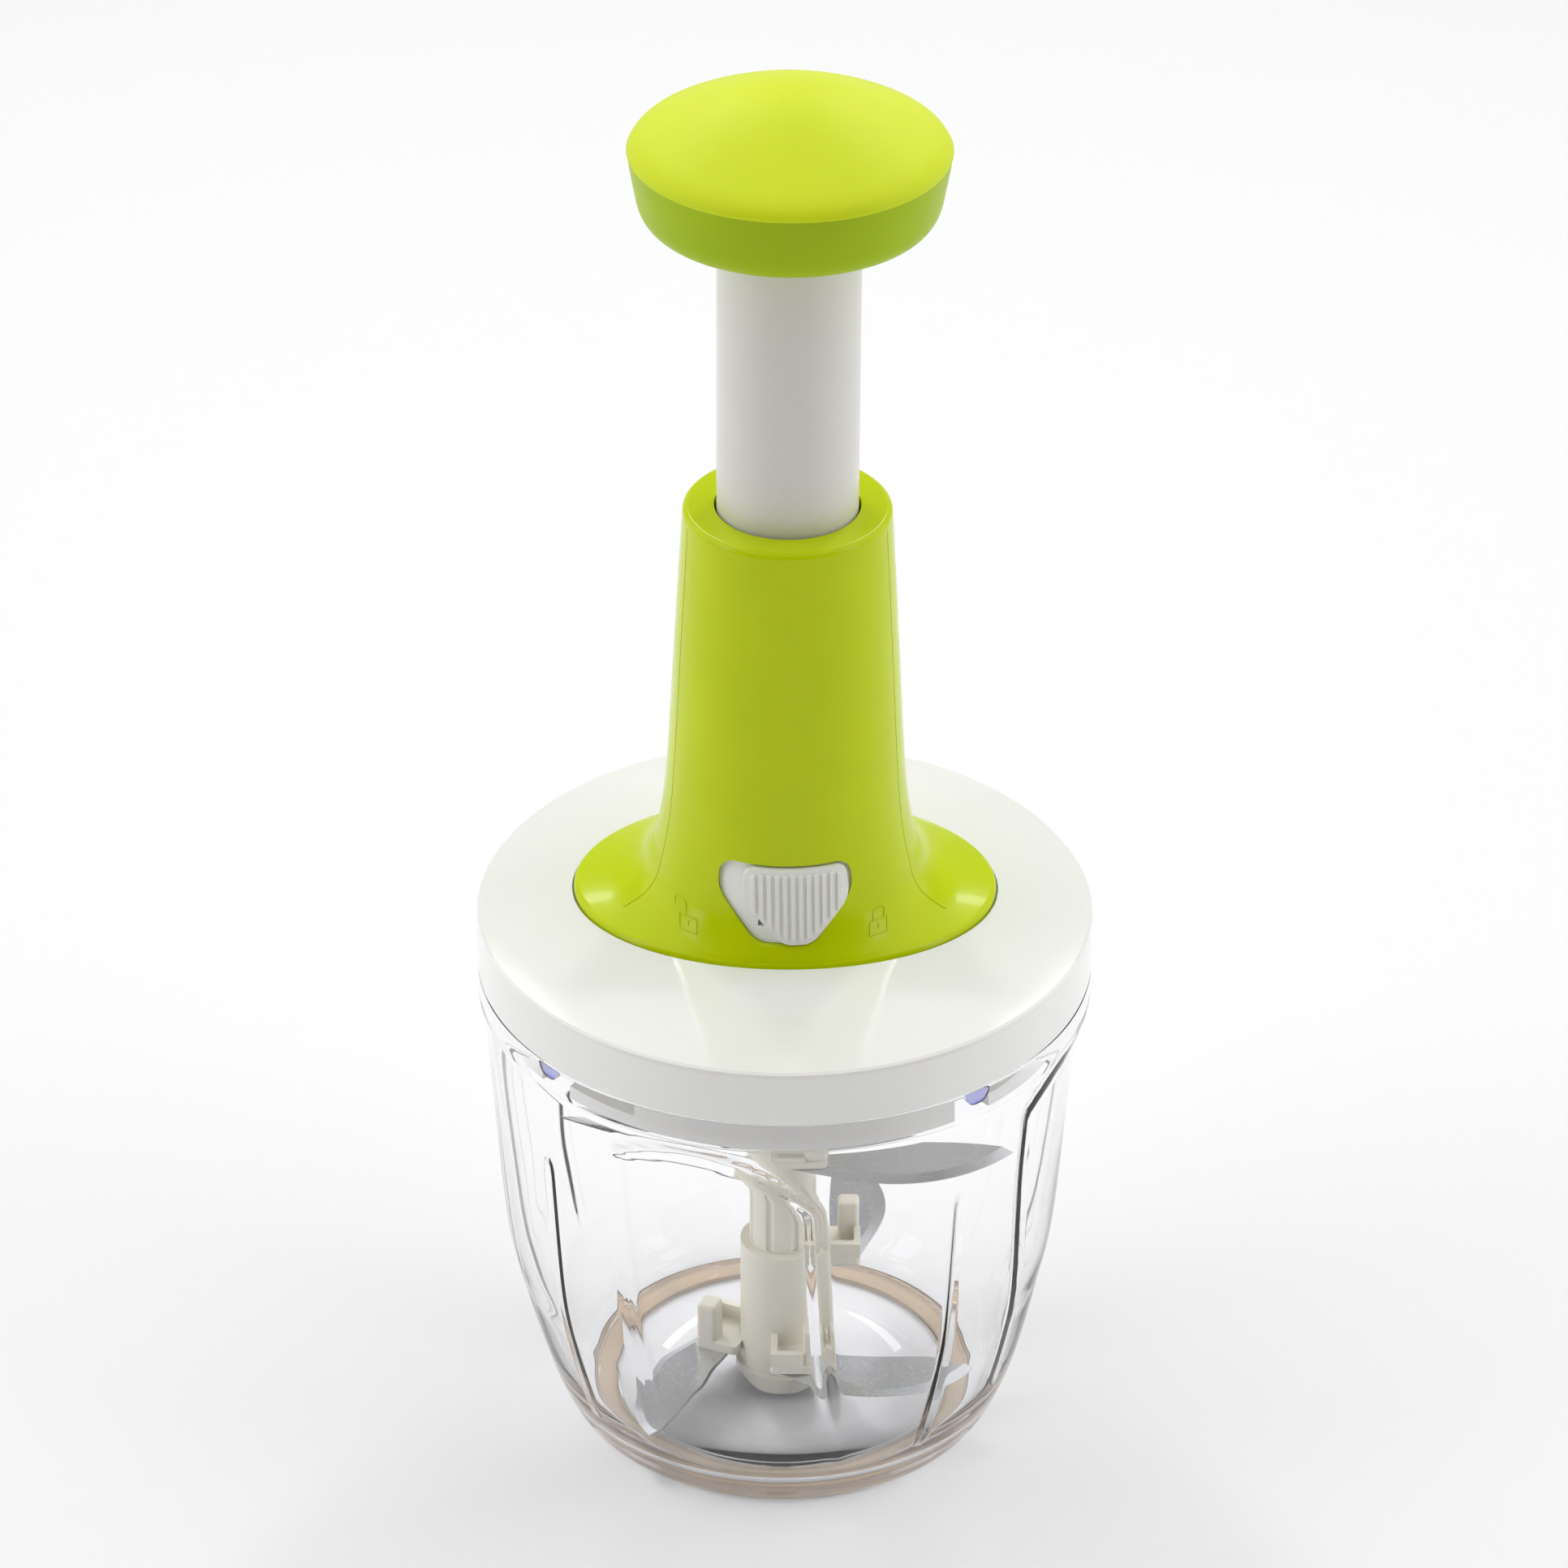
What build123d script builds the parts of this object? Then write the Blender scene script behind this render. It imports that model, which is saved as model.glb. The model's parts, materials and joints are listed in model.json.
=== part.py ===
from build123d import *
import os
from math import cos, pi, radians, sin, tan

# A hand-press food chopper: pressing the knob pushes a plunger down a twisted rod,
# and the rod turns a stack of sickle blades inside a clear bowl.
# Millimetres, +Z up, origin at the centre of the base. The front, where the handle
# lock is, faces -Y. Angles called "bearing" run from the front (-Y) towards +X.

os.makedirs("parts", exist_ok=True)

# ---- driving dimensions ------------------------------------------------------
BODY_R = 65.0            # outside of the bowl's rim and of the lid
RIM_LOW = 105.4          # underside of the bowl's rim band
RIM_TOP = 112.2          # top of the bowl
WALL = 2.2               # bowl wall
FLOOR_TOP = 3.4          # inside of the bowl's floor
RIM_INNER_R = 62.4       # bore of the rim above the seal's ledge
LEDGE_R = 61.5           # bore of the rim below that ledge
LEDGE_Z = 110.3
QUARTERS = (0, 90, 180, 270)
PANEL_BEARING = -14.75   # middle of the first arched panel
PANEL_DEPTH = 1.5
PANEL_FADE = (12.0, 30.0, 0.25)   # the recess grows between these heights, from this share
RIB_BEARING = 37.0
LUG_BEARING = 39.5       # bayonet lugs inside the rim
LUG_ARC = 7.0
LUG_Z = (107.0, LEDGE_Z)
LUG_R = 58.6

STROKE = 60.0            # handle travel
LEAD = 60.0              # plunger travel for one turn of the twisted rod
TUBE_R = 14.5            # plunger tube
TUBE_BORE = 12.5
GUIDE_R = 15.0           # bore of the tower's guide sleeve
GUIDE_LOW = 190.0
TOWER_TOP = 221.0
KNOB_LOW = 285.2
CATCH_R = 17.0           # lobes at the tube's lower end
CATCH_THICK = 3.0
CATCH_LOBES = 6
CATCH_ARC = 26.0

LID_LOW = 112.5          # bottom of the lid's skirt
LID_CREASE = 124.9       # top edge of the skirt
LID_TOP = 129.4          # where the lid's dome would close
LID_WALL = 2.0
PLUG_R = 60.0            # skirt that goes inside the bowl
PLUG_LOW = 103.5
LID_TURN = 16.0          # angle between entry and locked
FLANGE = (44.5, 31.8, 35.0)   # tower foot: half width, front depth, back depth
FLANGE_LOW = 126.3
COLLAR_TOP = 127.0       # collar round the foot, under the lid's dome
SHELL = 1.6              # tower wall
FIT = 0.3                # running gap between moving bodies

LOCK_ARC = 10.0          # travel of the lock button about Z
LOCK_RING_LOW = GUIDE_LOW - FIT - STROKE + 0.5
POCKET_Z = (133.0, 150.0)
POCKET_HALF = 13.9
BUTTON_HALF = 11.1

ROD_R = 4.0              # round journal of the drive rod
BAR = (8.4, 3.2)         # twisted bar section
NUT_Z = (203.0, 211.0)
PLATE_TOP = 114.5        # top of the lid's inner plate
BOSS_R = (13.6, 16.0)    # clutch housing under the plate
BOSS_LOW = 92.0

SHAFT_R = 9.2            # lower blade shaft
UPPER_R = 7.2            # upper blade shaft
SHAFT_JOINT = 39.0
PIN_R = 2.0
BLADE_T = 1.1
BLADE_PITCH = 20.0       # how far the two upper blades' cutting edges lean down
LOWER_BLADES = {"left": (-113.0, 10.0), "right": (0.0, 13.2), "middle": (90.0, 33.0)}
# turn about the shaft, height, rise towards the tip in degrees, and stretch
UPPER_BLADES = {"left": (180.0, 48.5, 16.5, 1.2), "right": (0.0, 70.2, 1.5, 1.16)}


# ---- small helpers -----------------------------------------------------------
def profile(*points):
    """A closed straight-sided outline in the (radius, height) plane."""
    return Plane.XZ * make_face(Polyline(*points, close=True))


def turned(*points):
    return revolve(profile(*points), Axis.Z)


def ring(r1, r2, z1, z2):
    return turned((r1, z1), (r2, z1), (r2, z2), (r1, z2))


def disc(r, z1, z2):
    return Pos(0, 0, (z1 + z2) / 2) * Cylinder(r, z2 - z1)


def sector(points, bearing, arc):
    """An outline turned through an arc that starts at a bearing."""
    return Rot(0, 0, bearing - 90) * revolve(profile(*points), Axis.Z, revolution_arc=arc)


def ring_sector(r1, r2, z1, z2, bearing, arc):
    return sector([(r1, z1), (r2, z1), (r2, z2), (r1, z2)], bearing, arc)


def block(x1, x2, y1, y2, z1, z2):
    middle = Pos((x1 + x2) / 2, (y1 + y2) / 2, (z1 + z2) / 2)
    return middle * Box(x2 - x1, y2 - y1, z2 - z1)


def oval(half_x, front, back, z):
    """A flat oval with different depths to the front (-Y) and to the back."""
    return Pos(0, (back - front) / 2, z) * Ellipse(half_x, (front + back) / 2)


def oval_loft(rows, inset):
    """Ovals joined smoothly, moved in and down by the wall's thickness."""
    return loft([oval(*(d - inset for d in depths), z - inset) for z, *depths in rows])


def polar(r, bearing):
    return r * sin(radians(bearing)), -r * cos(radians(bearing))


def rounded_outline(corners):
    """A closed outline from (x, y, radius) corners, each rounded by its radius."""
    places = [Vector(x, y) for x, y, _ in corners]
    arcs = []
    for i, (_, _, radius) in enumerate(corners):
        back = (places[i - 1] - places[i]).normalized()
        ahead = (places[(i + 1) % len(places)] - places[i]).normalized()
        half_angle = radians(back.get_angle(ahead)) / 2
        reach = radius / tan(half_angle)
        inmost = places[i] + (back + ahead).normalized() * (radius / sin(half_angle) - radius)
        arcs.append(ThreePointArc(places[i] + back * reach, inmost, places[i] + ahead * reach))
    lines = [Line(arc @ 1, following @ 0) for arc, following in zip(arcs, arcs[1:] + arcs[:1])]
    return arcs + lines


def front_prism(face, depth=60.0):
    """A flat outline in the front view, pushed from the axis to the front."""
    return extrude(Plane.XZ * face, depth)


def save(shape, node):
    if shape.solids() and len(shape.solids()) == 1:
        shape = shape.solids()[0]
    shape.label = node
    export_step(shape, f"parts/{node}.step")


# ---- bowl --------------------------------------------------------------------
OUTER = [(44.6, 0.6), (47.2, 3.4), (50.2, 10), (53.3, 20), (57.3, 35), (60.1, 50),
         (62.3, 80), (64.0, RIM_LOW)]
INNER = [(36.0, FLOOR_TOP), (41.5, 4.8), (45.6, 8.6), (48.6, 14.5), (51.2, 22), (55.2, 36.5),
         (57.9, 51), (60.1, 80), (LEDGE_R, RIM_LOW)]


def fade(z):
    low, high, least = PANEL_FADE
    return min(1.0, max(least, (z - low) / (high - low)))


def bowl_solid(curve, top, inset=0.0):
    """The bowl's outside or inside as a full solid, its wall moved in by the inset."""
    wall = [(r - inset * fade(z), z) for r, z in curve]
    side = Spline(*wall)
    axis_low = (0, curve[0][1])
    rest = Polyline(wall[-1], (wall[-1][0], top), (0, top), axis_low, wall[0])
    seam_turn = Rot(0, 0, 20 * inset)      # keeps the nested surfaces' seams apart
    return seam_turn * revolve(Plane.XZ * make_face([side, rest]), Axis.Z)


def arch(grow, bearing):
    """A radial prism with the arched panel's outline."""
    points = [(-21.5 - grow, 84), (-17.2 - grow, 94.5 + grow), (-4, 101.6 + grow),
              (9, 98.9 + grow), (17.5 + grow, 93.2 + grow), (21.9 + grow, 82),
              (24.0 + grow, 30), (22.0 + grow, 9), (-12.5 - grow, 9), (-19.0 - grow, 45)]
    corners = Spline(*points[:6]), Polyline(*points[5:], points[0])
    face = Plane.XZ * make_face([*corners])
    return Rot(0, 0, bearing) * extrude(face, 75)


def bowl():
    outside = bowl_solid(OUTER, RIM_TOP)
    cavity = bowl_solid(INNER, RIM_TOP + 1)
    outer_skin = outside - bowl_solid(OUTER, RIM_TOP, PANEL_DEPTH)
    inner_skin = cavity - bowl_solid(INNER, RIM_TOP + 1, PANEL_DEPTH)
    for turn in QUARTERS:
        outside -= outer_skin & arch(0, PANEL_BEARING + turn)
        cavity -= inner_skin & arch(WALL / 2, PANEL_BEARING + turn)
        rib = Rot(0, 0, RIB_BEARING + turn) * block(-1.1, 1.1, -80, -20, 14, 84)
        cavity -= (cavity - bowl_solid(INNER, RIM_TOP + 1, 1.0)) & rib
    body = outside + ring(RIM_INNER_R, BODY_R, RIM_LOW, RIM_TOP) - cavity
    body -= disc(RIM_INNER_R, LEDGE_Z, RIM_TOP + 1)
    body += disc(4.5, FLOOR_TOP - 0.5, 7.6)
    for turn in QUARTERS:
        body += ring_sector(LUG_R, RIM_INNER_R + 0.6, *LUG_Z, LUG_BEARING + turn - LUG_ARC / 2, LUG_ARC)
    body -= disc(PIN_R, 1.6, 8)
    body -= ring(36.8, 43.2, 0, 1.8)
    return body


def anti_slip_ring():
    return turned((37, 0.3), (37.4, 0), (42.6, 0), (43, 0.3), (43, 1.8), (37, 1.8))


def pivot_pin():
    return disc(PIN_R, 1.6, 30.0) + Pos(0, 0, 30.0) * Cone(PIN_R, PIN_R - 0.6, 1.0)


# ---- lid ---------------------------------------------------------------------
def lid_dome(inset):
    """The lid's outside, or its inside when inset: a drum with a gently domed top."""
    edge_r = BODY_R - inset
    low, crease, flat = LID_LOW - inset, LID_CREASE - inset, LID_TOP - inset
    crown = ThreePointArc((edge_r - 0.8, crease), (45 - inset, 127.75 - inset), (15, flat))
    side = Polyline((15, flat), (0, flat), (0, low), (edge_r, low), (edge_r, crease - 1.1),
                    (edge_r - 0.25, crease - 0.4), (edge_r - 0.8, crease))
    seam_turn = Rot(0, 0, 45)      # keeps the surface's seam clear of the ovals' seams
    return seam_turn * revolve(Plane.XZ * make_face([crown, side]), Axis.Z)


def lid_cover():
    half, front, back = FLANGE
    ledge_low = FLANGE_LOW - 0.1 - LID_WALL
    opening = extrude(oval(half + 0.4, front + 0.4, back + 0.4, ledge_low), 20)
    collar = extrude(oval(half + 1.6, front + 1.6, back + 1.6, ledge_low), COLLAR_TOP - ledge_low)
    body = lid_dome(0) - lid_dome(LID_WALL)
    body = body + collar - Pos(0, 0, LID_WALL) * opening
    body -= extrude(oval(33, 24, 27, ledge_low - 1), 10)
    for x, y in screw_places():
        body -= Pos(x, y, ledge_low) * Cylinder(1.6, 12)
    return body


def screw_places():
    return [(sx * 37.5, 1.6 + sy * 11) for sx in (-1, 1) for sy in (-1, 1)]


def housing_screws():
    """Four pan-head screws that hold the tower to the lid, as one group."""
    head_top = FLANGE_LOW - 0.1 - LID_WALL
    one = disc(2.8, head_top - 1.7, head_top) + disc(1.2, head_top, head_top + 4.6)
    one -= block(-2, 2, -0.35, 0.35, head_top - 1.8, head_top - 1.0)
    one -= block(-0.35, 0.35, -2, 2, head_top - 1.8, head_top - 1.0)
    return Compound([Pos(x, y, 0) * one for x, y in screw_places()])


def lid_base():
    """Inner plate with the plug skirt, its bayonet slots and the clutch housing."""
    boss_r, boss_out = BOSS_R
    body = disc(BODY_R - LID_WALL - 0.05, LID_LOW, PLATE_TOP)
    body += ring(PLUG_R - 2.2, PLUG_R, PLUG_LOW, LID_LOW)
    body += ring(boss_r, boss_out, BOSS_LOW, LID_LOW)
    body += ring(6.05, 9.4, PLATE_TOP, PLATE_TOP + 6)
    body -= disc(6.05, LID_LOW - 1, PLATE_TOP + 7)
    for turn in QUARTERS:
        entry = LUG_BEARING + turn - LUG_ARC / 2 - 0.75
        body -= ring_sector(55, PLUG_R + 1, PLUG_LOW - 1, LEDGE_Z + 0.9, entry, LUG_ARC + 1.5)
        body -= ring_sector(55, PLUG_R + 1, LUG_Z[0] - 0.8, LEDGE_Z + 0.9, entry, LUG_ARC + LID_TURN + 1.5)
        rib = block(-0.8, 0.8, -58, -boss_out + 0.5, LID_LOW - 4, LID_LOW)
        body += Rot(0, 0, turn + 45) * rib
    return body


def seal_ring():
    return turned((60.3, 110.6), (61.9, 110.6), (62.1, 110.9), (62.1, 111.9), (61.9, 112.2), (60.3, 112.2))


def socket_retainer():
    return ring(11.3, BOSS_R[0], BOSS_LOW, BOSS_LOW + 2.4)


def bearing_bush():
    body = ring(ROD_R + 0.05, 6.0, LID_LOW, PLATE_TOP + 6.0)
    return body + ring(ROD_R + 0.05, 7.4, PLATE_TOP + 6.0, PLATE_TOP + 6.8)


# ---- tower -------------------------------------------------------------------
TOWER_FOOT = [(128.4, *FLANGE), (129.1, 44.2, 31.5, 34.7), (129.6, 43.2, 31.2, 34.2)]
TOWER_WINGS = [TOWER_FOOT[-1], (130.4, 40.2, 30.9, 33.4), (131.6, 36.0, 30.4, 32.4),
               (133.6, 31.8, 29.7, 31.1), (137.4, 28.6, 28.5, 29.2), (143, 27.1, 27.1, 27.1)]
TOWER_SIDE = [(27.1, 143), (25.8, 150), (24.6, 163), (23.3, 187), (22.3, 205), (21.45, TOWER_TOP - 1.4)]


def tower_solid(inset):
    """The tower's outside, or its inside when inset: oval foot, wings and round neck."""
    foot_top = TOWER_FOOT[0][0] - inset
    foot = extrude(oval(*(d - inset for d in FLANGE), FLANGE_LOW - inset), foot_top - FLANGE_LOW + inset)
    side = [(r - inset, z - inset) for r, z in TOWER_SIDE]
    (low_r, low_z), (top_r, bend) = side[0], side[-1]
    round_r = TOWER_TOP - TOWER_SIDE[-1][1]
    inner = round_r * (1 - cos(pi / 4))
    corner = ThreePointArc(side[-1], (top_r - inner, bend + round_r - inner), (top_r - round_r, bend + round_r))
    rest = Polyline((top_r - round_r, bend + round_r), (0, bend + round_r), (0, low_z), side[0])
    neck = revolve(Plane.XZ * make_face([Spline(*side), corner, rest]), Axis.Z)
    return foot + oval_loft(TOWER_FOOT, inset) + oval_loft(TOWER_WINGS, inset) + neck


def front_r(z):
    """Radius of the tower's sloping front where the lock is."""
    low, high = POCKET_Z
    return 29.9 - (z - low) * (29.9 - 25.9) / (high - low)


def cone_layer(inner, outer, z1, z2):
    """A conical shell between two depths below (or above) the tower's front."""
    return turned((front_r(z1) + inner, z1), (front_r(z1) + outer, z1),
                  (front_r(z2) + outer, z2), (front_r(z2) + inner, z2))


def shield(half, margin=0.0):
    """The lock's outline in front view: wide and rounded, and narrower at the foot."""
    low, high = POCKET_Z[0] + margin, POCKET_Z[1] - margin
    less = max(margin, 0)
    right = [(half - 8.0, low, 5.5 - less), (half, high - 7.0, 6.0 - less), (half - 0.6, high, 3.4 - less)]
    left = [(-x, z, radius) for x, z, radius in reversed(right)]
    return front_prism(make_face(rounded_outline(right + left)))


def tower_housing():
    outside = tower_solid(0)
    body = outside - (tower_solid(SHELL) - disc(40, GUIDE_LOW - 5, TOWER_TOP))
    body -= ring(17.2, 20.0, GUIDE_LOW - 6, TOWER_TOP - 3)
    body -= disc(20.0, GUIDE_LOW - 10, GUIDE_LOW)
    body -= disc(GUIDE_R, GUIDE_LOW - 1, TOWER_TOP + 1)
    key = block(-1.3, 1.3, 14.0, GUIDE_R + 0.5, GUIDE_LOW, TOWER_TOP - 1.5)
    body += key
    body -= shield(POCKET_HALF)
    for x, y in screw_places():
        boss = Pos(x, y, FLANGE_LOW + 3) * (Cylinder(3.2, 6) - Cylinder(1.25, 6))
        body += boss & outside
        body -= Pos(x, y, FLANGE_LOW) * Cylinder(1.25, 5)
    return body


# ---- handle lock -------------------------------------------------------------
STEM_Z = (137.0, 140.5)


def lock_pocket():
    """White floor behind the tower's window, slotted for the button's stem."""
    low, high = POCKET_Z
    body = cone_layer(-4.1, -2.6, low - 1.2, high + 1.2) & shield(POCKET_HALF + 1.2, -1.2)
    body += cone_layer(-2.7, -1.3, low - 1.2, high + 1.2) & shield(POCKET_HALF - 0.1, 0.1)
    slot = ring_sector(15, 35, STEM_Z[0] - 0.5, STEM_Z[1] + 0.5, -LOCK_ARC / 2 - 6.5, LOCK_ARC + 13)
    return body - slot


def lock_button():
    low, high = POCKET_Z
    pad = cone_layer(-1.0, 0.5, low, high) & shield(BUTTON_HALF, 0.6)
    ribs = [block(x - 0.42, x + 0.42, -40, -10, low, high) for x in rib_places()]
    raised = cone_layer(0.4, 1.0, low, high) & shield(BUTTON_HALF - 1.1, 1.7)
    for rib in ribs:
        pad += raised & rib
    stem = ring_sector(20.5, front_r(STEM_Z[1]) - 0.9, *STEM_Z, -5, 10)
    return Rot(0, 0, LOCK_ARC / 2) * (pad + stem)


def rib_places():
    pitch = 1.63
    return [(i - 5.5) * pitch for i in range(12)]


def lock_ring():
    """Ring round the plunger whose tabs pass, or catch, the plunger's lobes."""
    low = LOCK_RING_LOW
    body = ring(CATCH_R + 0.5, 22.0, low, low + 2.0)
    step = 360 / CATCH_LOBES
    for i in range(CATCH_LOBES):
        start = (i + 0.5) * step - CATCH_ARC / 2
        body += ring_sector(TUBE_R + 0.45, CATCH_R + 0.8, low, low + 2.0, start, CATCH_ARC)
    tongue = ring_sector(18.2, 20.4, low + 1, STEM_Z[1], LOCK_ARC / 2 - 5, 10)
    return body + tongue


# ---- plunger -----------------------------------------------------------------
TUBE_TOP = 290.0


def plunger_tube():
    low = GUIDE_LOW - FIT - CATCH_THICK
    body = ring(TUBE_BORE, TUBE_R, low, TUBE_TOP) + disc(TUBE_BORE + 0.5, TUBE_TOP - 3, TUBE_TOP)
    body += ring(TUBE_BORE - 1.2, TUBE_BORE + 0.5, NUT_Z[1], NUT_Z[1] + 2)
    step = 360 / CATCH_LOBES
    for i in range(CATCH_LOBES):
        body += ring_sector(TUBE_R - 0.5, CATCH_R, low, low + CATCH_THICK, i * step - CATCH_ARC / 2, CATCH_ARC)
    body -= block(-1.6, 1.6, 13.6, 18, low - 1, KNOB_LOW - 2)
    for x, y in knob_screw_places():
        body -= Pos(x, y, TUBE_TOP - 1.5) * Cylinder(1.2, 4)
    return body


def knob_screw_places():
    return [polar(8.0, 120 * i + 60) for i in range(3)]


def knob_screws():
    head_low = TUBE_TOP + 2.4
    one = disc(2.6, head_low, head_low + 1.8) + disc(1.15, TUBE_TOP - 3, head_low)
    one -= block(-1.9, 1.9, -0.35, 0.35, head_low + 1.0, head_low + 2)
    return Compound([Pos(x, y, 0) * one for x, y in knob_screw_places()])


KNOB_SIDE = [(26.5, 286.4), (28.8, 287.3), (29.9, 288.9), (30.9, 293.0), (31.7, 297.5), (32.1, 300.7)]
KNOB_DOME = [(32.1, 301.0), (31.6, 302.0), (30.2, 303.3), (27.4, 304.9), (21.0, 308.0), (11.0, 312.0), (0, 313.8)]


def knob_base():
    side = Spline(*KNOB_SIDE)
    top = KNOB_SIDE[-1][1]
    rest = Polyline(KNOB_SIDE[-1], (0, top), (0, KNOB_LOW), (20, KNOB_LOW), KNOB_SIDE[0])
    body = revolve(Plane.XZ * make_face([side, rest]), Axis.Z)
    hollow = turned((17.2, 287.4), (25.6, 287.4), (27.8, 289.6), (29.2, 294), (30.0, 301), (0, 301),
                    (0, 292.4), (17.2, 292.4))
    body = body - hollow - disc(TUBE_R + 0.05, KNOB_LOW - 1, TUBE_TOP)
    for x, y in knob_screw_places():
        body -= Pos(x, y, TUBE_TOP + 1) * Cylinder(1.2, 6)
    return body


def knob_cap():
    """Domed soft grip that closes the knob, with a spigot inside the base."""
    dome = Spline(*KNOB_DOME)
    low = KNOB_DOME[0][1]
    body = revolve(Plane.XZ * make_face([dome, Polyline(KNOB_DOME[-1], (0, low), KNOB_DOME[0])]), Axis.Z)
    hollow = turned((0, 298), (29.0, 298), (28.4, 302.3), (24.5, 304.2), (17, 307.7), (8, 310.9), (0, 311.6))
    return body - hollow + ring(27.6, 29.4, 297.5, 302.2)


def twisted_bar(grow, z1, z2):
    """A left-handed twisted flat bar, as rotated rectangles joined smoothly."""
    steps = max(3, round((z2 - z1) / 3.5))
    rows = [z1 + (z2 - z1) * i / steps for i in range(steps + 1)]
    width, depth = BAR
    section = Rectangle(width + 2 * grow, depth + 2 * grow)
    return loft([Pos(0, 0, z) * Rot(0, 0, -360 * (z - NUT_Z[0]) / LEAD) * section for z in rows])


def helix_nut():
    low, high = NUT_Z
    return disc(TUBE_BORE - 0.05, low, high) - twisted_bar(FIT, low - 1, high + 1)


def return_spring():
    """Compression spring from the lid's plate up to the nut."""
    wire = 0.8
    mean = 10.65
    low, high = PLATE_TOP + wire + 0.1, NUT_Z[0] - wire - 0.1
    turns = 11
    path = Helix(pitch=(high - low) / turns, height=high - low, radius=mean)
    start = path @ 0
    coil = sweep(Plane(origin=start, z_dir=path % 0) * Circle(wire), path, is_frenet=True)
    return Pos(0, 0, low) * coil


# ---- drive -------------------------------------------------------------------
ROD_LOW = 101.5
CLUTCH_Z = (100.0, 108.6)


def drive_rod():
    bar_low = NUT_Z[0] - STROKE - 2.0
    body = twisted_bar(0, bar_low, NUT_Z[1] + 4) + disc(ROD_R, ROD_LOW, bar_low + 0.5)
    body += disc(6.2, PLATE_TOP + 7.1, PLATE_TOP + 9.1)
    body -= ring(ROD_R - 0.6, ROD_R + 1, 110.2, 111.2)
    flats = block(-8, 8, 3.0, 8, ROD_LOW - 1, CLUTCH_Z[1]) + block(-8, 8, -8, -3.0, ROD_LOW - 1, CLUTCH_Z[1])
    return body - flats


def rod_clip():
    """Open retaining ring in the groove of the drive rod."""
    return ring(ROD_R - 0.5, 6.6, 110.3, 111.1) - block(-1.6, 1.6, -8, 0, 110, 112)


def teeth(z, height, gap):
    """Ratchet teeth on a face, as wedges with an upright side and a ramp."""
    count = 12
    out = []
    for i in range(count):
        bearing = 360 * i / count + gap / 2
        out.append(ring_sector(7.5, 12.0, z, z + height, bearing, 180 / count - gap))
    return out


def clutch_driver():
    low, high = CLUTCH_Z
    body = ring(ROD_R + 0.05, 12.4, low + 2.0, high - 2.6) + ring(ROD_R + 0.05, 7.0, high - 2.7, high)
    keys = block(-3, 3, 3.05, 4.6, low + 2.0, high) + block(-3, 3, -4.6, -3.05, low + 2.0, high)
    body += keys
    for tooth in teeth(low, 2.1, 1.0):
        body += tooth
    return body


def drive_socket():
    """Turns with the clutch; three inner dogs drive the blade shaft."""
    top = CLUTCH_Z[0] - FIT
    body = disc(12.8, BOSS_LOW + 2.8, top) + disc(11.0, 86.0, BOSS_LOW + 3)
    body -= disc(8.2, 85.0, 97.4)
    for i in range(3):
        body += ring_sector(6.2, 8.5, 86.0, 97.5, 120 * i + 40, 40)
    for tooth in teeth(top - 0.1, 2.0, 1.0):
        body += Rot(0, 0, 15) * tooth
    return body


# ---- blades ------------------------------------------------------------------
def blade_outline(inset, z, slim):
    """A sickle that starts in front of the shaft and sweeps to the right."""
    tip = (42.0 - inset, -13.0 + inset / 2)
    cutting = Spline((-1.5, -15.6 + inset), (8, -19.2 + inset + slim / 2), (20, -22.6 + inset + slim),
                     (31, -21.2 + inset + slim), tip)
    back = Spline(tip, (33, -10.8), (21, -10.2), (9.5, -9.4), (-1.5, -10.2))
    close = Line((-1.5, -10.2), (-1.5, -15.6 + inset))
    return Pos(0, 0, z) * make_face([cutting, back, close])


def blade(stretch=1.0, slim=0.0):
    """Flat steel with a ground bevel along its outer edge; its top is at z = 0."""
    edge = 0.25
    body = extrude(blade_outline(0, -BLADE_T, slim), edge)
    body += loft([blade_outline(0, edge - BLADE_T, slim), blade_outline(2.0, 0, slim)], ruled=True)
    if stretch != 1.0:
        body = scale(body, (stretch, 1, 1))
    return body - Pos(4.5, -13.3, 0) * Cylinder(1.55, 5)


def holder(reach):
    """Arm that carries a blade under it: foot, side wall, upright post and rivet."""
    foot = block(-2.5, 9.5, -17.0, reach, 0, 2.2)
    foot = fillet(foot.edges().filter_by(Axis.Z), 1.2)
    post = fillet(block(4.6, 9.4, -16.6, -12.0, 2.0, 11.6).edges().filter_by(Axis.Z), 1.0)
    post = fillet(post.edges().group_by(Axis.Z)[-1], 0.9)
    wall = block(-2.5, 4.8, -16.9, -15.5, 2.0, 5.6)
    web = block(-2.4, -0.9, -15.7, reach, 2.0, 5.6)
    rivet = Pos(4.5, -13.3, -BLADE_T / 2) * Cylinder(1.5, BLADE_T + 0.2)
    return foot + post + wall + web + rivet


def placed_low(shape, name):
    bearing, z = LOWER_BLADES[name]
    return Rot(0, 0, bearing) * Pos(0, 0, z) * shape


def placed_high(shape, name):
    axis_y = -13.0
    turn, z, rise, _ = UPPER_BLADES[name]
    tilted = Pos(0, axis_y, 0) * Rot(BLADE_PITCH, 0, 0) * Pos(0, -axis_y, 0) * shape
    return Rot(0, 0, turn) * Pos(0, 0, z) * Rot(0, -rise, 0) * tilted


def lower_blade_shaft():
    low = FLOOR_TOP + 0.8
    body = disc(SHAFT_R, low, SHAFT_JOINT) + disc(10.2, low, low + 2.2)
    for name in LOWER_BLADES:
        body += placed_low(holder(-7.0), name)
    body -= disc(6.05, 31.5, SHAFT_JOINT + 1)
    body -= disc(PIN_R + 0.05, low - 1, 31.6)
    body -= disc(5.2, low - 1, 8.2)
    return body


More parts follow.
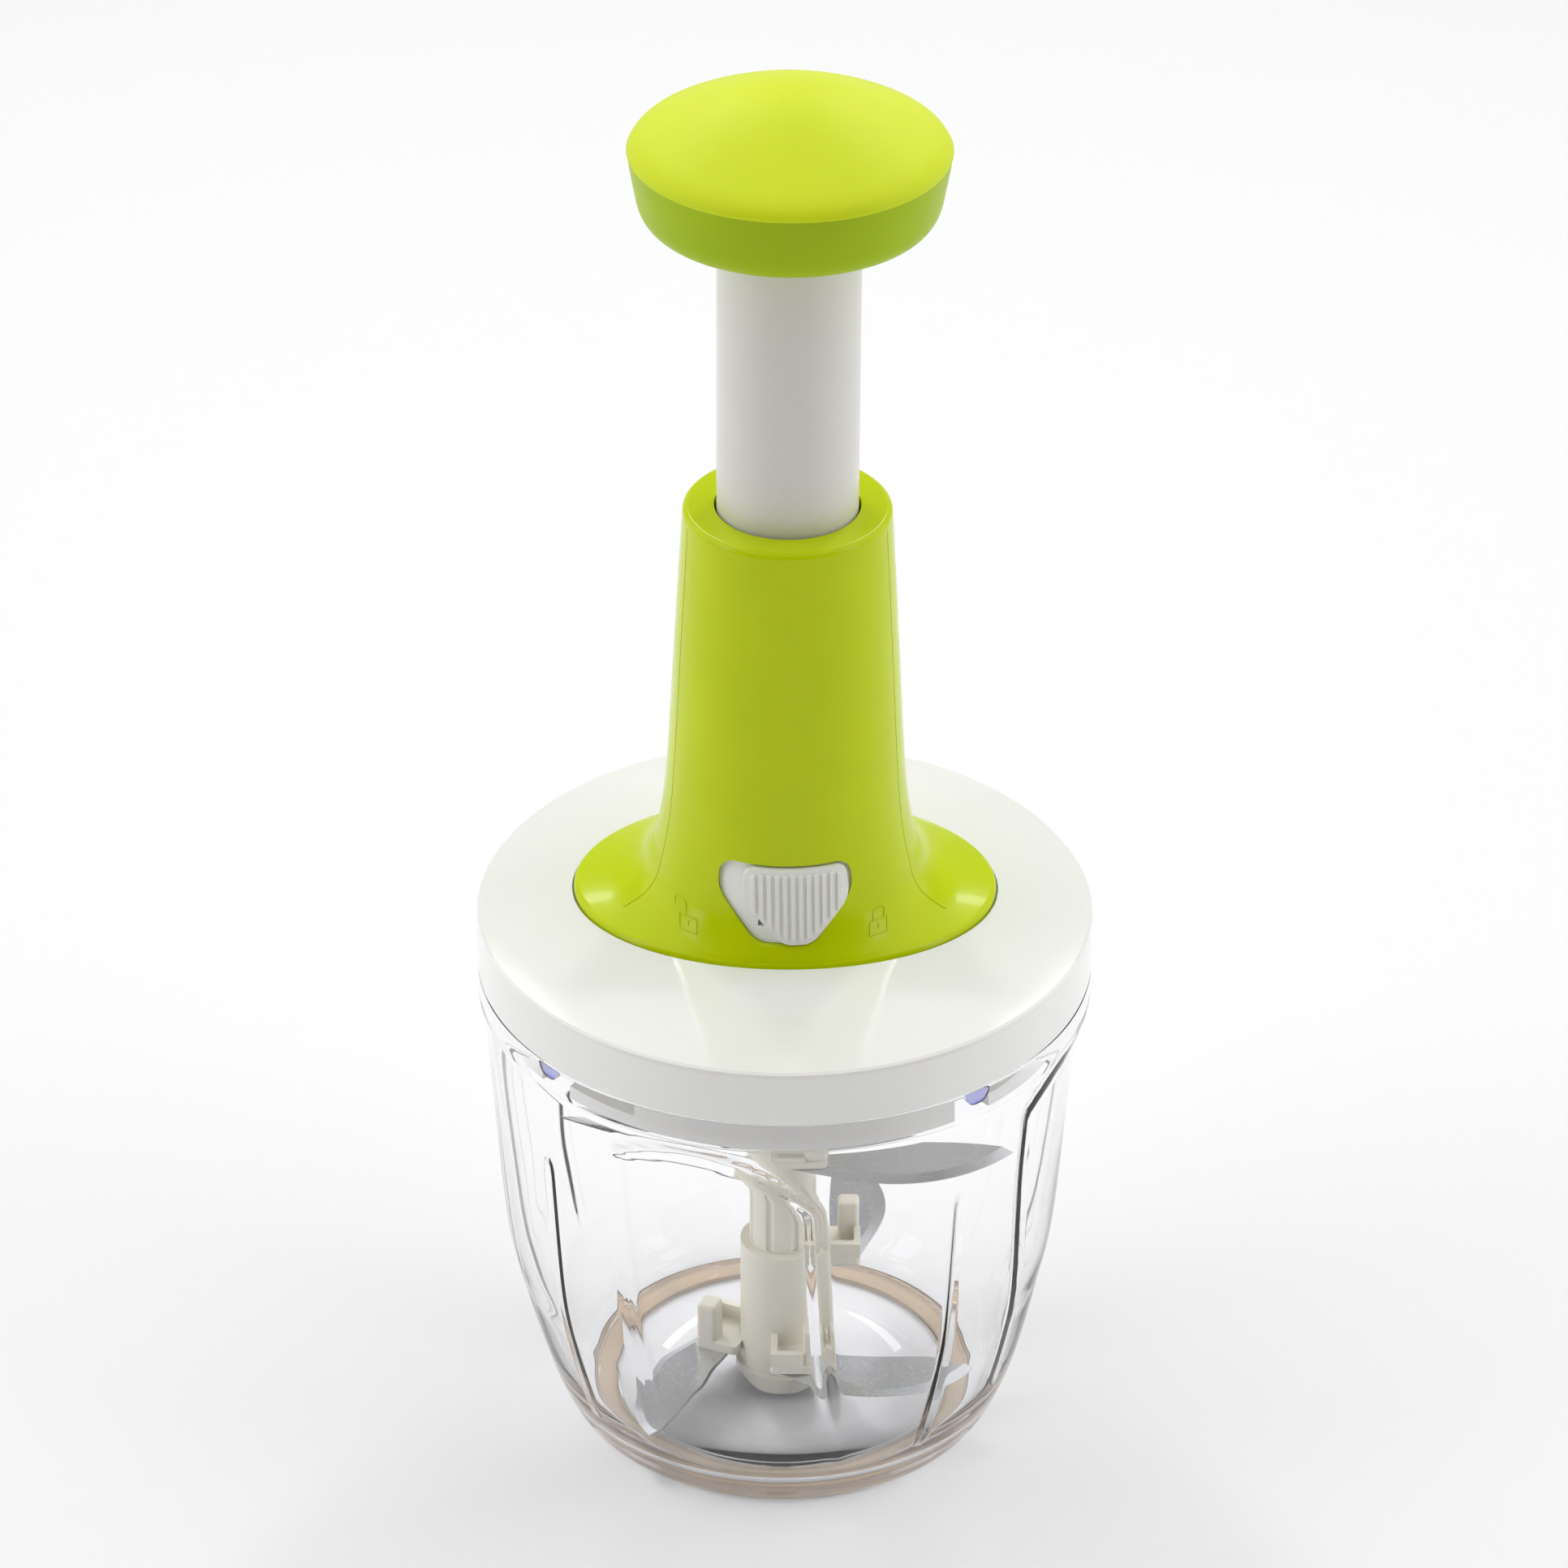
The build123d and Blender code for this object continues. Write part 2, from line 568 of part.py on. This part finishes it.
def upper_blade_shaft():
    cone_low, cone_top = 68.0, 76.0
    body = disc(6.0, 31.7, SHAFT_JOINT) + disc(UPPER_R, SHAFT_JOINT, cone_top)
    body += turned((0, cone_low), (UPPER_R, cone_low), (9.0, 73), (9.4, cone_top), (0, cone_top))
    for i in range(8):
        x, y = polar(UPPER_R + 0.55, 45 * i + 22.5)
        body -= Pos(x, y, 48) * Cylinder(1.1, 17)
    for name in UPPER_BLADES:
        body += placed_high(holder(-6.0), name)
    body -= Pos(0, 0, 27) * Cylinder(3.0, 14)
    body += disc(5.6, cone_top - 1, 96.6)
    for i in range(3):
        body += ring_sector(5.0, 7.4, 76.0, 96.6, 120 * i - 13, 26)
    return body


# ---- build -------------------------------------------------------------------
NODES = {
    "bowl": bowl, "anti_slip_ring": anti_slip_ring, "pivot_pin": pivot_pin,
    "lid_seal_ring": seal_ring, "lid_cover": lid_cover, "lid_base": lid_base,
    "socket_retainer": socket_retainer, "bearing_bush": bearing_bush,
    "tower_housing": tower_housing, "housing_screws": housing_screws,
    "lock_pocket": lock_pocket, "lock_button": lock_button, "lock_ring": lock_ring,
    "plunger_tube": plunger_tube, "knob_screws": knob_screws, "knob_base": knob_base,
    "knob_cap": knob_cap, "helix_nut": helix_nut, "return_spring": return_spring,
    "drive_rod": drive_rod, "rod_clip": rod_clip, "clutch_driver": clutch_driver,
    "drive_socket": drive_socket, "lower_blade_shaft": lower_blade_shaft,
    "upper_blade_shaft": upper_blade_shaft,
}

for node, make in NODES.items():
    save(make(), node)
for name in LOWER_BLADES:
    save(placed_low(blade(), name), f"blade_lower_{name}" if name != "middle" else "blade_middle")
for name, (*_, stretch) in UPPER_BLADES.items():
    save(placed_high(blade(stretch, 2.0), name), f"blade_upper_{name}")
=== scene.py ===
import json
import math

import bmesh
import bpy
import numpy as np
from mathutils import Matrix, Vector
from mathutils.bvhtree import BVHTree


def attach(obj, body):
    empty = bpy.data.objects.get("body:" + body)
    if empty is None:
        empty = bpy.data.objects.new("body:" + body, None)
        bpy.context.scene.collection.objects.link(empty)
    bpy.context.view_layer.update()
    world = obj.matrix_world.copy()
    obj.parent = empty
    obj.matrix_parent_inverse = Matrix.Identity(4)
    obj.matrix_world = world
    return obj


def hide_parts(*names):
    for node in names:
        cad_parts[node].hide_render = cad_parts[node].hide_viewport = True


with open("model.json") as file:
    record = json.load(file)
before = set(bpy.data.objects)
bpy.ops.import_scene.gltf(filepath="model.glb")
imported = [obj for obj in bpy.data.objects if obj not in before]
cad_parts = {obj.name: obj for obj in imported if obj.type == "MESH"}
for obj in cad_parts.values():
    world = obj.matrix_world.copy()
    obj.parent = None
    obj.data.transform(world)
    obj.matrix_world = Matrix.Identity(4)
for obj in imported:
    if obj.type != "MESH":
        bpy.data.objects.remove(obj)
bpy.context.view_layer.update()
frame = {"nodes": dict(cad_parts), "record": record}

# A hand-press food chopper. Metres, +Z up, the handle lock faces -Y. "Bearing" is the
# angle in degrees from the front (-Y) towards +X.

MM = 0.001
nodes = frame["nodes"]
scene = bpy.context.scene
scene.view_settings.view_transform = "Standard"


# ---- materials ---------------------------------------------------------------
def srgb(r, g, b):
    """Linear colour from 0-255 display values."""
    def linear(v):
        v /= 255
        return v / 12.92 if v <= 0.04045 else ((v + 0.055) / 1.055) ** 2.4
    return (linear(r), linear(g), linear(b), 1.0)


class Surface:
    """A Principled material with short helpers for procedural detail."""

    def __init__(self, name, color, roughness, **sockets):
        self.mat = bpy.data.materials.new(name)
        self.mat.use_nodes = True
        self.tree = self.mat.node_tree
        self.shader = self.tree.nodes["Principled BSDF"]
        self.set("Base Color", color)
        self.set("Roughness", roughness)
        for socket, value in sockets.items():
            self.set(socket.replace("_", " "), value)
        self.coords = self.node("ShaderNodeTexCoord").outputs["Object"]
        self.height = None

    def set(self, socket, value):
        self.shader.inputs[socket].default_value = value

    def node(self, kind, **inputs):
        made = self.tree.nodes.new(kind)
        for socket, value in inputs.items():
            made.inputs[socket.replace("_", " ")].default_value = value
        return made

    def link(self, out, socket):
        self.tree.links.new(out, socket)

    def stretched(self, scale):
        """Object coordinates scaled by axis, for grain that runs one way."""
        mapping = self.node("ShaderNodeMapping")
        mapping.inputs["Scale"].default_value = scale
        self.link(self.coords, mapping.inputs["Vector"])
        return mapping.outputs["Vector"]

    def noise(self, scale, detail=3.0, coords=None):
        made = self.node("ShaderNodeTexNoise", Scale=scale, Detail=detail)
        self.link(coords or self.coords, made.inputs["Vector"])
        return made.outputs["Fac"]

    def ramp(self, fac, low, high, start=0.3, end=0.7):
        """A value or colour that slides between two ends with a 0-1 input."""
        made = self.node("ShaderNodeValToRGB")
        for element, place, value in zip(made.color_ramp.elements, (start, end), (low, high)):
            element.position = place
            element.color = value if isinstance(value, tuple) else (value, value, value, 1)
        self.link(fac, made.inputs["Fac"])
        return made.outputs["Color"]

    def tint(self, low, high, scale=60, detail=2.0):
        self.link(self.ramp(self.noise(scale, detail), low, high), self.shader.inputs["Base Color"])
        return self

    def uneven(self, low, high, scale=90, coords=None):
        """Roughness that wanders a little, as handling and moulding leave it."""
        fac = self.noise(scale, 4.0, coords)
        self.link(self.ramp(fac, low, high), self.shader.inputs["Roughness"])
        return self

    def bump(self, scale, distance, strength=1.0, detail=2.0, coords=None):
        made = self.node("ShaderNodeBump", Strength=strength, Distance=distance)
        self.link(self.noise(scale, detail, coords), made.inputs["Height"])
        if self.height:
            self.link(self.height, made.inputs["Normal"])
        self.height = made.outputs["Normal"]
        self.link(self.height, self.shader.inputs["Normal"])
        return self


def lime_gloss():
    """Glossy moulded lime plastic, with the faint ripple of a thick moulding."""
    made = Surface("lime_gloss", srgb(199, 216, 0), 0.2, Coat_Weight=0.14, Coat_Roughness=0.06,
                   Specular_IOR_Level=0.14, Subsurface_Weight=0.06, Subsurface_Scale=0.004)
    made.set("Subsurface Radius", (0.8, 1.0, 0.15))
    return made.tint(srgb(196, 214, 0), srgb(202, 219, 2), 45).uneven(0.17, 0.24).bump(160, 0.00003, 0.25)


def lime_satin():
    """Knob base: a duller moulding of the same plastic, its colour set darker than the tower's lime as
    painted shade for the shaded lower band of the knob.
    """
    # painted shade: this base colour and its tint range are darkened to stand in for the shade that falls
    # on the knob's lower band
    made = Surface("lime_satin", srgb(170, 196, 0), 0.42, Coat_Weight=0.06, Coat_Roughness=0.3,
                   Specular_IOR_Level=0.15, Subsurface_Weight=0.06, Subsurface_Scale=0.004)
    return made.tint(srgb(166, 193, 0), srgb(173, 199, 0), 50).uneven(0.38, 0.46).bump(2600, 0.00002, 0.3)


def lime_soft():
    """Soft-touch skin: dull, finely grained, with a little sheen."""
    made = Surface("lime_soft", srgb(216, 230, 14), 0.5, Specular_IOR_Level=0.25, Sheen_Weight=0.12,
                   Sheen_Roughness=0.5, Subsurface_Weight=0.08, Subsurface_Scale=0.004)
    return made.tint(srgb(212, 227, 8), srgb(219, 233, 20), 35).uneven(0.47, 0.56).bump(3200, 0.00004, 0.35)


def white_plastic(name, color, roughness, coat=0.0, grain=0.15):
    made = Surface(name, color, roughness, Coat_Weight=coat, Coat_Roughness=0.06,
                   Subsurface_Weight=0.1, Subsurface_Scale=0.003)
    low = tuple(c * 0.975 for c in color[:3]) + (1,)
    made.tint(low, color, 40).uneven(roughness * 0.85, roughness * 1.2)
    return made.bump(1500, 0.00002, grain)


def steel(name, color, rough_low, rough_high, grain_axis):
    """Ground steel: fine scratches along one axis, and cloudy roughness."""
    made = Surface(name, color, rough_low, Metallic=1.0)
    coords = made.stretched(grain_axis)
    made.uneven(rough_low, rough_high, 900, coords)
    made.bump(1400, 0.000012, 0.35, 3.0, coords)
    return made.bump(140, 0.00002, 0.15)


def silicone(name, color, roughness=0.6):
    made = Surface(name, color, roughness, Subsurface_Weight=0.15, Subsurface_Scale=0.003)
    low = tuple(c * 0.92 for c in color[:3]) + (1,)
    return made.tint(low, color, 70).bump(2200, 0.00003, 0.3)


def clear_plastic():
    """Clear moulded plastic: refracts, and looks faintly lavender through a long path."""
    made = Surface("clear_bowl", (1, 1, 1, 1), 0.01, Transmission_Weight=1.0, IOR=1.3)
    made.bump(55, 0.00004, 0.1)
    absorb = made.node("ShaderNodeVolumeAbsorption", Density=5.0)
    absorb.inputs["Color"].default_value = (0.68, 0.70, 0.95, 1)
    output = made.tree.nodes["Material Output"]
    made.link(absorb.outputs["Volume"], output.inputs["Volume"])
    rays = made.node("ShaderNodeLightPath")
    through = made.node("ShaderNodeBsdfTransparent")
    through.inputs["Color"].default_value = (0.985, 0.985, 0.99, 1)
    mix = made.node("ShaderNodeMixShader")
    made.link(rays.outputs["Is Shadow Ray"], mix.inputs["Fac"])
    made.link(made.shader.outputs["BSDF"], mix.inputs[1])
    made.link(through.outputs["BSDF"], mix.inputs[2])
    made.link(mix.outputs["Shader"], output.inputs["Surface"])
    return made


WHITE = srgb(248, 247, 244)
MATERIALS = {
    "lime_gloss": lime_gloss().mat,
    # lime_satin: the knob base's lime, darkened as painted shade
    "lime_satin": lime_satin().mat,
    "lime_soft": lime_soft().mat,
    "lid_white": white_plastic("lid_white", WHITE, 0.1, coat=0.5).mat,
    "tube_white": white_plastic("tube_white", srgb(226, 223, 217), 0.33, coat=0.1).mat,
    "button_white": white_plastic("button_white", srgb(246, 245, 240), 0.3, grain=0.3).mat,
    "acetal": white_plastic("acetal", srgb(232, 232, 228), 0.35).mat,
    "ivory": white_plastic("ivory", srgb(238, 235, 222), 0.38, grain=0.35).mat,
    "beige_silicone": silicone("beige_silicone", srgb(226, 208, 184)).mat,
    "clear_silicone": silicone("clear_silicone", srgb(232, 232, 230), 0.4).mat,
    "steel": steel("steel", srgb(190, 190, 192), 0.22, 0.34, (1, 1, 12)).mat,
    "spring_steel": steel("spring_steel", srgb(178, 179, 183), 0.2, 0.3, (1, 1, 4)).mat,
    "blade_steel": steel("blade_steel", srgb(214, 215, 217), 0.16, 0.3, (1, 9, 9)).mat,
    "clear_bowl": clear_plastic().mat,
}


def dress_cad_nodes():
    for part in frame["record"]["subparts"]:
        node = nodes[part["node"]]
        node.data.materials.clear()
        node.data.materials.append(MATERIALS[part["material_slot"]])


# ---- clear bowl --------------------------------------------------------------
RIM_LOW, RIM_TOP = 105.4, 112.2
QUARTERS = (0, 90, 180, 270)
OUTER = [(44.6, 0.6), (47.2, 3.4), (50.2, 10), (53.3, 20), (57.3, 35), (60.1, 50),
         (62.3, 80), (64.0, RIM_LOW - 0.5)]
INNER = [(36.0, 3.4), (41.5, 4.8), (45.6, 8.6), (48.6, 14.5), (51.2, 22), (55.2, 36.5),
         (57.9, 51), (60.1, 80), (61.5, RIM_LOW)]
PANEL_BEARING = -14.75
PANEL_DEPTH = 1.3
PANEL_TOP = 101.6
RIB_BEARING = 37.0
RIB_TOP = 84.0
RIB_HEIGHT = 0.5
LUG_BEARING = 39.5
LUG_LOW, LUG_TOP = 107.0, 110.2
LUG_HALF = 3.5
LUG_MIDDLE_R = 61.0
AROUND = 480


def smooth_line(points, steps):
    """Points on a Catmull-Rom curve through the given (r, z) points."""
    pts = np.array(points, float)
    ends = np.vstack([2 * pts[0] - pts[1], pts, 2 * pts[-1] - pts[-2]])
    out = []
    for i in range(1, len(ends) - 2):
        p0, p1, p2, p3 = ends[i - 1:i + 3]
        for t in np.linspace(0, 1, steps, endpoint=False):
            out.append(0.5 * (2 * p1 + (p2 - p0) * t + (2 * p0 - 5 * p1 + 4 * p2 - p3) * t ** 2
                              + (3 * p1 - p0 - 3 * p2 + p3) * t ** 3))
    return out + [ends[-2]]


def step_up(x, width):
    t = np.clip(x / width, 0, 1)
    return t * t * (3 - 2 * t)


def panel_rise(across, z, grow):
    """0 outside the arched panel, 1 inside it, with soft edges; both inputs in mm."""
    left = -21.5 - grow + np.clip((84 - z) / 75, 0, 1) ** 1.3 * 9.0
    right = 22.3 + grow + np.clip((84 - z) / 60, 0, 1) * 2.0
    lean = across + 3.5
    top = PANEL_TOP + grow - 0.0155 * lean ** 2 - 6.5e-6 * lean ** 4 * (1 + 0.25 * np.sign(lean))
    slope = 0.031 * np.abs(lean) + 2.6e-5 * np.abs(lean) ** 3
    roof = (top - z) / np.sqrt(1 + slope ** 2)
    inside = np.minimum(np.minimum(across - left, right - across), roof)
    return step_up(inside + 0.6, 2.8) * step_up(z - 12, 30)


def rib_rise(across, z):
    """A thin upright rib with a rounded top."""
    reach = np.hypot(across, np.maximum(z - (RIB_TOP - 1.2), 0))
    return step_up(1.35 - reach, 0.8) * step_up(z - 12, 4)


def wall_offset(bearing, r, z, inner):
    """How far the wall stands inside its round shape, in mm."""
    total = np.zeros_like(bearing)
    for turn in QUARTERS:
        gap = (bearing - PANEL_BEARING - turn + 180) % 360 - 180
        across = r * np.sin(np.radians(gap))
        near = np.abs(gap) < 60
        total += PANEL_DEPTH * panel_rise(across, z, 1.0 if inner else 0.0) * near
        gap = (bearing - RIB_BEARING - turn + 180) % 360 - 180
        across = r * np.sin(np.radians(gap))
        if inner:
            total += RIB_HEIGHT * rib_rise(across, z) * (np.abs(gap) < 20)
    return total


def bowl_rows():
    """The bowl's section from the middle of its underside round to the middle of its floor."""
    foot = [(0.02, 0.6), (18, 0.6), (36.6, 0.6), (36.8, 0.8), (36.8, 1.8), (43.2, 1.8),
            (43.2, 0.8), (43.4, 0.6), (44.0, 0.55)]
    rim = [(64.15, RIM_LOW - 0.15), (64.6, RIM_LOW), (64.85, RIM_LOW + 0.1), (65.0, RIM_LOW + 0.35),
           (65.0, RIM_LOW + 0.7), (65.0, 108.8), (65.0, RIM_TOP - 0.6), (64.9, RIM_TOP - 0.2),
           (64.6, RIM_TOP), (62.8, RIM_TOP), (62.5, RIM_TOP - 0.1), (62.4, RIM_TOP - 0.4),
           (62.4, 110.5), (62.3, 110.3), (61.8, 110.3), (61.55, 110.2), (61.5, 109.9)]
    pin_boss = [(30, 3.4), (20, 3.4), (5.2, 3.4), (4.7, 3.5), (4.5, 3.9), (4.5, 7.2),
                (4.3, 7.6), (2.2, 7.6), (2.02, 7.4), (2.02, 1.58), (0.02, 1.58)]
    rows = [(r, z, None) for r, z in foot]
    rows += [(r, z, "outer") for r, z in smooth_line(OUTER, 14)]
    rows += [(r, z, None) for r, z in rim]
    rows += [(r, z, "inner") for r, z in reversed(smooth_line(INNER, 14))]
    rows += [(r, z, None) for r, z in pin_boss]
    return rows


def grid_mesh(name, points):
    """A tube-like mesh from rows of points that each go once round, closed at both ends."""
    rows, around = points.shape[:2]
    verts = points.reshape(-1, 3)
    faces = []
    for i in range(rows - 1):
        for j in range(around):
            k = (j + 1) % around
            faces.append((i * around + j, i * around + k, (i + 1) * around + k, (i + 1) * around + j))
    faces.append(tuple(range(around))[::-1])
    faces.append(tuple((rows - 1) * around + j for j in range(around)))
    mesh = bpy.data.meshes.new(name)
    mesh.from_pydata(verts.tolist(), [], faces)
    mesh.shade_smooth()
    made = bpy.data.objects.new(name, mesh)
    scene.collection.objects.link(made)
    return made


def outward(made):
    """Makes every face of a closed mesh look outwards."""
    bm = bmesh.new()
    bm.from_mesh(made.data)
    bmesh.ops.recalc_face_normals(bm, faces=bm.faces)
    bm.to_mesh(made.data)
    bm.free()
    return made


def bowl_lugs():
    """Four boat-shaped bayonet lugs on the inside of the rim: flat top, rounded foot."""
    bm = bmesh.new()
    low, high = LUG_LOW, LUG_TOP
    for turn in QUARTERS:
        outline = []
        for i in range(13):
            t = -1 + i / 6
            outline.append((t * LUG_HALF, high - (high - low) * (1 - abs(t) ** 3.2)))
        outline += [(LUG_HALF, high - 0.02), (-LUG_HALF, high - 0.02)]
        rings = []
        for reach, shrink in ((61.62, 1.0), (58.9, 1.0), (58.6, 0.9)):
            ring = []
            for s, z in outline:
                bearing = math.radians(LUG_BEARING + turn) + s * shrink / LUG_MIDDLE_R
                z = high - (high - z) * shrink
                x, y = reach * math.sin(bearing), -reach * math.cos(bearing)
                ring.append(bm.verts.new((x * MM, y * MM, z * MM)))
            rings.append(ring)
        for a, b in zip(rings, rings[1:]):
            for i in range(len(a)):
                k = (i + 1) % len(a)
                bm.faces.new((a[i], a[k], b[k], b[i]))
        bm.faces.new(rings[0])
        bm.faces.new(rings[-1][::-1])
    bmesh.ops.remove_doubles(bm, verts=bm.verts, dist=1e-6)
    mesh = bpy.data.meshes.new("bowl_lugs")
    bm.to_mesh(mesh)
    bm.free()
    made = bpy.data.objects.new("bowl_lugs", mesh)
    scene.collection.objects.link(made)
    return outward(made)


def clear_bowl():
    bearing = np.arange(AROUND) * 360 / AROUND
    rows = []
    for r, z, side in bowl_rows():
        radius = np.full(AROUND, float(r))
        if side:
            radius -= wall_offset(bearing, radius, z, side == "inner")
        x, y = radius * np.sin(np.radians(bearing)), -radius * np.cos(np.radians(bearing))
        rows.append(np.stack([x, y, np.full(AROUND, float(z))], axis=1))
    made = outward(grid_mesh("bowl_shell", np.array(rows) * MM))
    lugs = bowl_lugs()
    for piece in (made, lugs):
        piece.data.materials.append(MATERIALS["clear_bowl"])
        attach(piece, "bowl")
    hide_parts("bowl")


# ---- marks on the tower ------------------------------------------------------
def surface_tree(node):
    mesh = nodes[node].data
    places = [v.co.copy() for v in mesh.vertices]
    return BVHTree.FromPolygons(places, [p.vertices[:] for p in mesh.polygons])


def bead(name, strokes, radius, material, body):
    """A fine round bead along one or more lines of points."""
    curve = bpy.data.curves.new(name, "CURVE")
    curve.dimensions = "3D"
    curve.bevel_depth = radius
    curve.bevel_resolution = 2
    curve.use_fill_caps = True
    for points in strokes:
        spline = curve.splines.new("POLY")
        spline.points.add(len(points) - 1)
        for place, p in zip(spline.points, points):
            place.co = (*p, 1)
    curve.materials.append(MATERIALS[material])
    made = bpy.data.objects.new(name, curve)
    scene.collection.objects.link(made)
    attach(made, body)


def tower_seams():
    """The two moulding lines that run down the tower's sides and out over its foot."""
    tree = surface_tree("tower_housing")
    strokes = []
    for bearing in (-70, 70):
        out = Vector((math.sin(math.radians(bearing)), -math.cos(math.radians(bearing)), 0))
        line = []
        for z in np.linspace(219, 131.2, 90):
            hit, *_ = tree.ray_cast(out * 0.08 + Vector((0, 0, z * MM)), -out)
            if hit:
                line.append(hit)
        strokes.append(line)
    bead("tower_seams", strokes, 0.00009, "lime_gloss", "lid")


def padlock(x, z, opened):
    """A plain padlock outline, about 4 by 5 mm, pressed up out of the tower's foot."""
    tree = surface_tree("tower_housing")
    half, body_high, shackle = 1.8, 2.3, 1.15
    body = [(-half, 0), (half, 0), (half, body_high), (-half, body_high), (-half, 0)]
    top = body_high + 1.2
    aside, lift = (-shackle - 0.5, 0.5) if opened else (0, 0)
    arch = [(aside + shackle * math.cos(a), top + lift + shackle * math.sin(a))
            for a in np.linspace(math.pi, 0, 9)]
    legs = [(aside - shackle, body_high + 2 * lift)] + arch + [(aside + shackle, body_high)]
    keyhole = [(0, 0.8), (0, 1.6)]
    strokes = []
    for outline in (body, legs, keyhole):
        line = []
        for a, b in zip(outline, outline[1:]):
            for t in np.linspace(0, 1, 4, endpoint=False):
                line.append((a[0] + (b[0] - a[0]) * t, a[1] + (b[1] - a[1]) * t))
        line.append(outline[-1])
        starts = [Vector(((x + u) * MM, -0.08, (z + v) * MM)) for u, v in line]
        hits = [tree.ray_cast(start, Vector((0, 1, 0)))[0] for start in starts]
        strokes.append([hit for hit in hits if hit])
    name = "padlock_open" if opened else "padlock_closed"
    bead(name, strokes, 0.00015, "lime_gloss", "lid")


def knob_crease():
    """The soft ridge where the knob's cap meets its base."""
    r, z = 32.0 * MM, 300.85 * MM
    circle = [(r * math.cos(a), r * math.sin(a), z) for a in np.linspace(0, 2 * math.pi, 181)]
    bead("knob_crease", [circle], 0.00028, "lime_soft", "plunger")


# ---- studio ------------------------------------------------------------------
def area_light(name, place, target, size, power):
    data = bpy.data.lights.new(name, "AREA")
    data.shape = "RECTANGLE"
    data.size, data.size_y = size
    data.energy = power
    light = bpy.data.objects.new(name, data)
    light.location = place
    light.rotation_euler = (Vector(target) - Vector(place)).to_track_quat("-Z", "Y").to_euler()
    scene.collection.objects.link(light)


def studio():
    world = bpy.data.worlds.new("studio")
    world.use_nodes = True
    tree = world.node_tree
    background = tree.nodes["Background"]
    background.inputs["Strength"].default_value = 1.22

    # White all round and dim low down in front, so that upright fronts turn darker.
    coords = tree.nodes.new("ShaderNodeTexCoord")
    aim = tree.nodes.new("ShaderNodeVectorMath")
    aim.operation = "DOT_PRODUCT"
    aim.inputs[1].default_value = (0, -0.97, -0.24)
    ramp = tree.nodes.new("ShaderNodeValToRGB")
    shades = ((0.97, 0.975, 0.985), (0.06, 0.055, 0.045))
    for element, place, shade in zip(ramp.color_ramp.elements, (-0.05, 0.5), shades):
        element.position = place
        element.color = (*shade, 1)
    tree.links.new(coords.outputs["Generated"], aim.inputs[0])
    tree.links.new(aim.outputs["Value"], ramp.inputs["Fac"])
    tree.links.new(ramp.outputs["Color"], background.inputs["Color"])
    scene.world = world

    middle = (0, 0, 0.15)
    area_light("left_strip", (-0.95, -0.35, 0.55), middle, (0.25, 0.9), 1.7)
    area_light("right_strip", (0.95, -0.35, 0.55), middle, (0.25, 0.9), 1.5)
    area_light("back_left_strip", (-0.36, 0.75, 0.95), middle, (0.12, 0.45), 1.8)
    area_light("back_right_strip", (0.36, 0.75, 0.95), middle, (0.12, 0.45), 1.8)


def floor():
    """A pale sweep, flat under the object and curved up far behind it."""
    reach, back, radius = 3.0, 2.2, 1.2
    section = [(-reach, 0.0), (back, 0.0)]
    for a in np.linspace(0, math.pi / 2, 16)[1:]:
        section.append((back + radius * math.sin(a), radius * (1 - math.cos(a))))
    section.append((back + radius, 3.5))
    verts = [(x, y, z) for y, z in section for x in (-4.0, 4.0)]
    faces = [(2 * i, 2 * i + 1, 2 * i + 3, 2 * i + 2) for i in range(len(section) - 1)]
    mesh = bpy.data.meshes.new("floor")
    mesh.from_pydata(verts, [], faces)
    mesh.shade_smooth()
    made = bpy.data.objects.new("floor", mesh)
    scene.collection.objects.link(made)
    mesh.materials.append(Surface("floor", srgb(243, 243, 243), 0.8).mat)


def camera():
    """A long lens from in front, looking down a little under 32 degrees."""
    data = bpy.data.cameras.new("camera")
    data.sensor_width = 36.0
    data.lens = 148.8
    data.shift_x = -0.0011
    data.clip_end = 20
    made = bpy.data.objects.new("camera", data)
    made.location = (0, -1.150, 0.864)
    look = Matrix.Rotation(math.radians(90 - 31.69), 4, "X")
    roll = Matrix.Rotation(math.radians(0.39), 4, "Z")
    made.rotation_euler = (look @ roll).to_euler()
    scene.collection.objects.link(made)
    scene.camera = made


dress_cad_nodes()
clear_bowl()
tower_seams()
padlock(-20.0, 132.8, True)
padlock(19.4, 132.8, False)
knob_crease()
floor()
studio()
camera()
